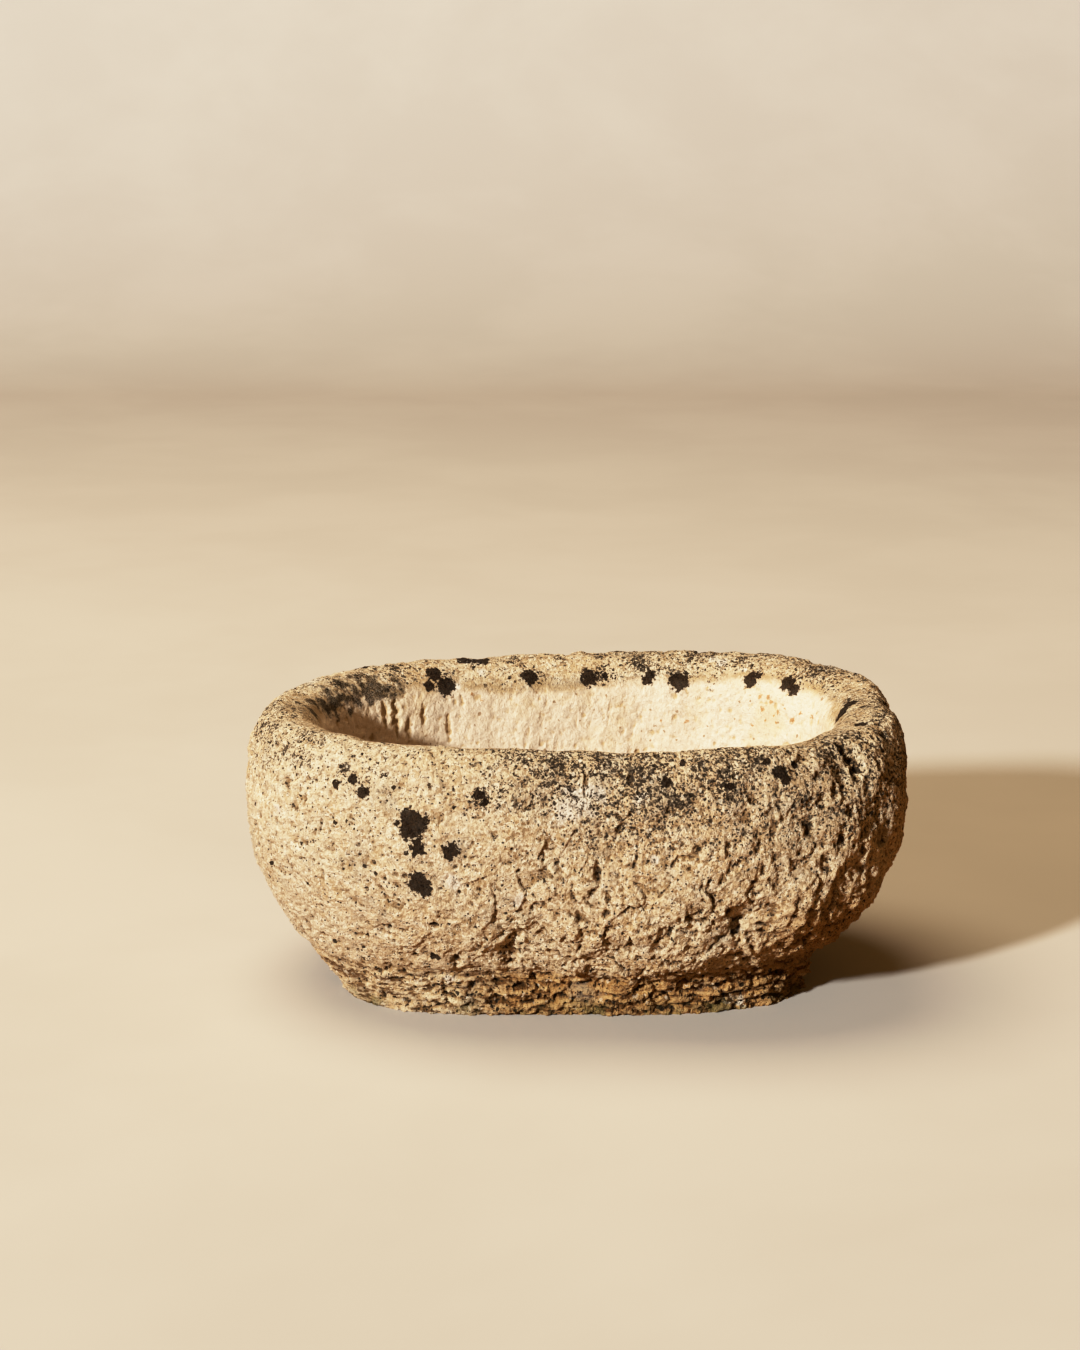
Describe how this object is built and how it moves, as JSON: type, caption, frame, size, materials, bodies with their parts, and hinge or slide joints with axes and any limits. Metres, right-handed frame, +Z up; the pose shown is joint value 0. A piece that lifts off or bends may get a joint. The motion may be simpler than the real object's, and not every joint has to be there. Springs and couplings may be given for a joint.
{
  "type": "stone planter",
  "caption": "Hand-hewn oval stone planter: a hollowed block with a thick rounded rim, bulging flanks that turn in over a low foot, and a drain hole in its floor.",
  "frame": {"origin": "on the ground, under the middle of the stone's overall box", "axes": "+X along the stone to its right end, +Y to its back, +Z up; -Y is the front seen in the picture"},
  "size_m": [0.429, 0.299, 0.1922],
  "materials": {
    "stone": "rough, weathered cream limestone with dark lichen"
  },
  "bodies": {
    "root": {"stone_body": "stone"}
  },
  "joints": []
}
